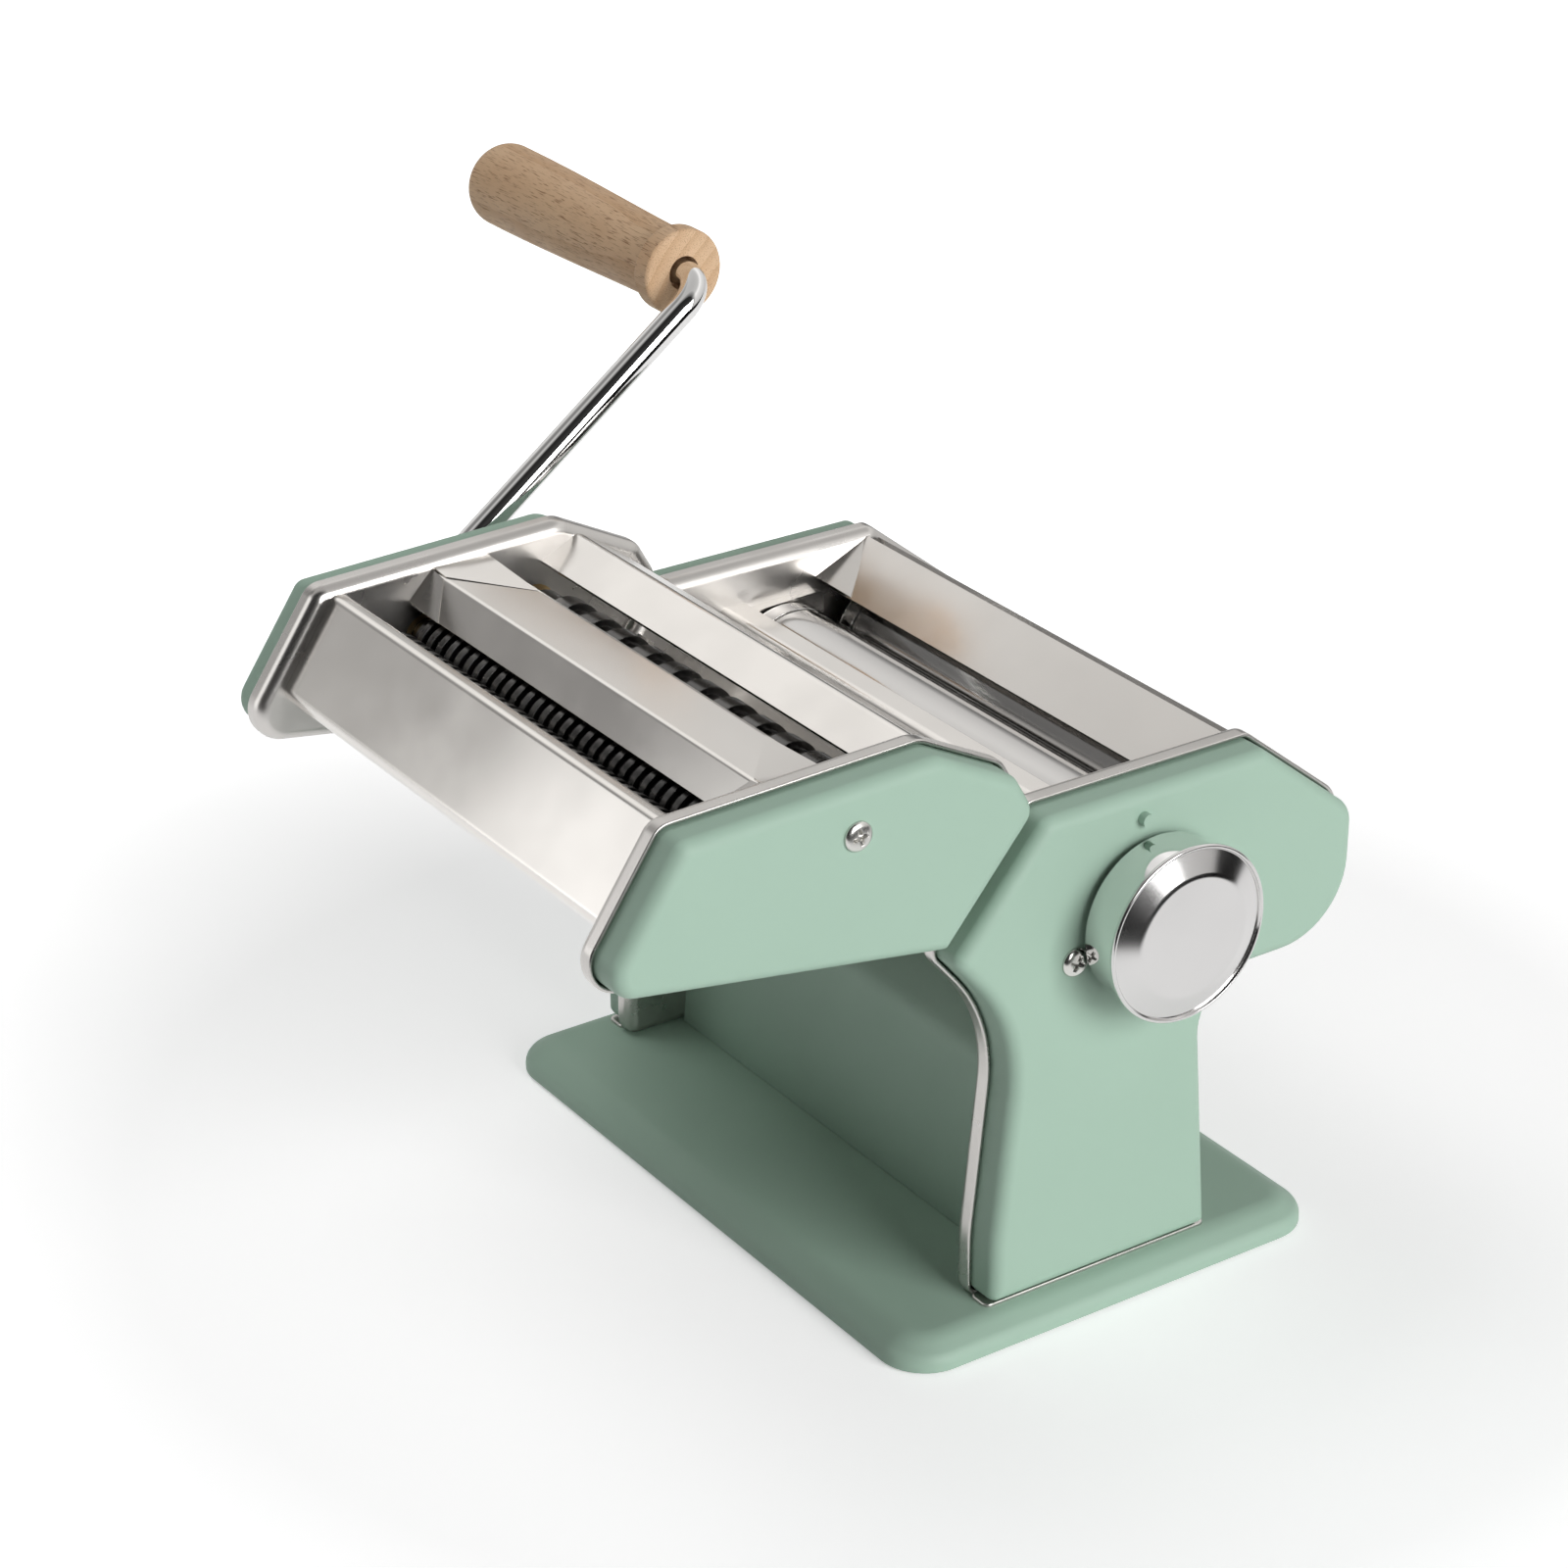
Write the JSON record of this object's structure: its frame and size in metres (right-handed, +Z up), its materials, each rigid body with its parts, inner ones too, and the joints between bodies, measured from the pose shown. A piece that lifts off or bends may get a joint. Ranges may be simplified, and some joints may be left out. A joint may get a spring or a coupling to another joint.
{
  "type": "pasta roller machine",
  "caption": "Hand-cranked pasta roller on a flat base, with green side covers, polished rollers, a thickness knob, a lift-off noodle cutter and a bent crank with a wooden grip.",
  "frame": {"origin": "middle of the underside of the base, on the table", "axes": "+X along the rollers towards the thickness knob, -Y towards the noodle cutter, +Z up"},
  "size_m": [0.3392, 0.2341, 0.2374],
  "materials": {
    "green_paint": "matt powder coat",
    "rubber_pad": "matt",
    "polished_steel": "bright stainless sheet",
    "roller_steel": "ground and polished",
    "cutter_steel": "blackened steel",
    "zinc_steel": "zinc plated",
    "bronze_bush": "sintered bronze",
    "chrome_plate": "mirror chrome",
    "beech": "fine sanded, oiled"
  },
  "bodies": {
    "machine": {"base_tray": "green_paint", "non_slip_pad": "rubber_pad", "base_screws": "zinc_steel", "left_side_frame": "polished_steel", "left_side_cover": "green_paint", "right_side_frame": "polished_steel", "right_side_cover": "green_paint", "cover_screws": "zinc_steel", "thickness_index": "green_paint", "frame_tie_rods": "zinc_steel", "tie_rod_nuts": "zinc_steel", "chute_panel": "green_paint", "front_hopper_strip": "polished_steel", "hopper_plate": "polished_steel", "rear_shell": "polished_steel", "left_hopper_cheek": "polished_steel", "right_hopper_cheek": "polished_steel", "front_scraper": "polished_steel", "rear_scraper": "polished_steel", "rear_roller_bushes": "bronze_bush", "selector_bush": "bronze_bush", "guide_rails": "polished_steel"},
    "rear_roller": {"rear_roller": "roller_steel", "rear_roller_gear": "zinc_steel"},
    "gap_carrier": {"left_bearing_block": "zinc_steel", "right_bearing_block": "zinc_steel", "carrier_yoke_bar": "zinc_steel"},
    "front_roller": {"front_roller": "roller_steel", "front_roller_gear": "zinc_steel"},
    "selector": {"selector_shaft": "zinc_steel", "snail_cam": "zinc_steel", "knob_retaining_screw": "zinc_steel"},
    "knob": {"knob_barrel": "chrome_plate", "knob_cap": "chrome_plate", "knob_spring": "zinc_steel"},
    "cutter": {"cutter_left_frame": "polished_steel", "cutter_left_cover": "green_paint", "cutter_right_frame": "polished_steel", "cutter_right_cover": "green_paint", "cutter_cover_screws": "zinc_steel", "cutter_tie_rods": "zinc_steel", "cutter_tie_nuts": "zinc_steel", "cutter_front_panel": "polished_steel", "cutter_centre_guide": "polished_steel", "cutter_rear_guide": "polished_steel", "narrow_scraper": "polished_steel", "wide_scraper": "polished_steel", "cutter_left_bushes": "bronze_bush", "cutter_right_bushes": "bronze_bush", "cutter_hooks": "polished_steel"},
    "narrow_front": {"narrow_front_cutter": "cutter_steel", "narrow_front_gear": "zinc_steel"},
    "narrow_rear": {"narrow_rear_cutter": "cutter_steel", "narrow_rear_gear": "zinc_steel"},
    "wide_front": {"wide_front_cutter": "cutter_steel", "wide_front_gear": "zinc_steel"},
    "wide_rear": {"wide_rear_cutter": "cutter_steel", "wide_rear_gear": "zinc_steel"},
    "crank": {"crank_rod": "chrome_plate"},
    "crank_grip": {"crank_grip": "beech"}
  },
  "joints": [
    {"name": "rear_roller_turn", "type": "hinge", "parent": "machine", "child": "rear_roller", "pos_m": [0, 0.0468, 0.1195], "axis": [1, 0, 0], "continuous": true},
    {"name": "thickness_turn", "type": "hinge", "parent": "machine", "child": "selector", "pos_m": [0, 0.0078, 0.1145], "axis": [1, 0, 0], "range_deg": [0, 270]},
    {"name": "knob_pull", "type": "slide", "parent": "selector", "child": "knob", "axis": [1, 0, 0], "range_m": [0, 0.004], "stiffness_N_per_m": 600},
    {"name": "gap_slide", "type": "slide", "parent": "machine", "child": "gap_carrier", "axis": [0, -1, 0], "range_m": [0, 0.0027]},
    {"name": "front_roller_turn", "type": "hinge", "parent": "gap_carrier", "child": "front_roller", "pos_m": [0, 0.0105, 0.1195], "axis": [1, 0, 0], "continuous": true},
    {"name": "cutter_lift", "type": "slide", "parent": "machine", "child": "cutter", "axis": [0, 0.6441, 0.765], "range_m": [0, 0.06]},
    {"name": "crank_turn", "type": "hinge", "parent": "cutter", "child": "wide_front", "pos_m": [0, -0.0845, 0.1545], "axis": [1, 0, 0], "continuous": true},
    {"name": "wide_rear_turn", "type": "hinge", "parent": "cutter", "child": "wide_rear", "pos_m": [0, -0.0687, 0.1545], "axis": [1, 0, 0], "continuous": true},
    {"name": "narrow_front_turn", "type": "hinge", "parent": "cutter", "child": "narrow_front", "pos_m": [0, -0.1185, 0.1545], "axis": [1, 0, 0], "continuous": true},
    {"name": "narrow_rear_turn", "type": "hinge", "parent": "cutter", "child": "narrow_rear", "pos_m": [0, -0.1027, 0.1545], "axis": [1, 0, 0], "continuous": true},
    {"name": "crank_pull_out", "type": "slide", "parent": "wide_front", "child": "crank", "axis": [-1, 0, 0], "range_m": [0, 0.03]},
    {"name": "grip_turn", "type": "hinge", "parent": "crank", "child": "crank_grip", "pos_m": [0, 0.00746, 0.22455], "axis": [1, 0, 0], "continuous": true}
  ],
  "couplings": [
    {"joint": "front_roller_turn", "follows": "rear_roller_turn", "ratio": -1},
    {"joint": "thickness_turn", "follows": "gap_slide", "rad_per_m": 1745.3},
    {"joint": "wide_rear_turn", "follows": "crank_turn", "ratio": -1},
    {"joint": "narrow_rear_turn", "follows": "narrow_front_turn", "ratio": -1}
  ]
}
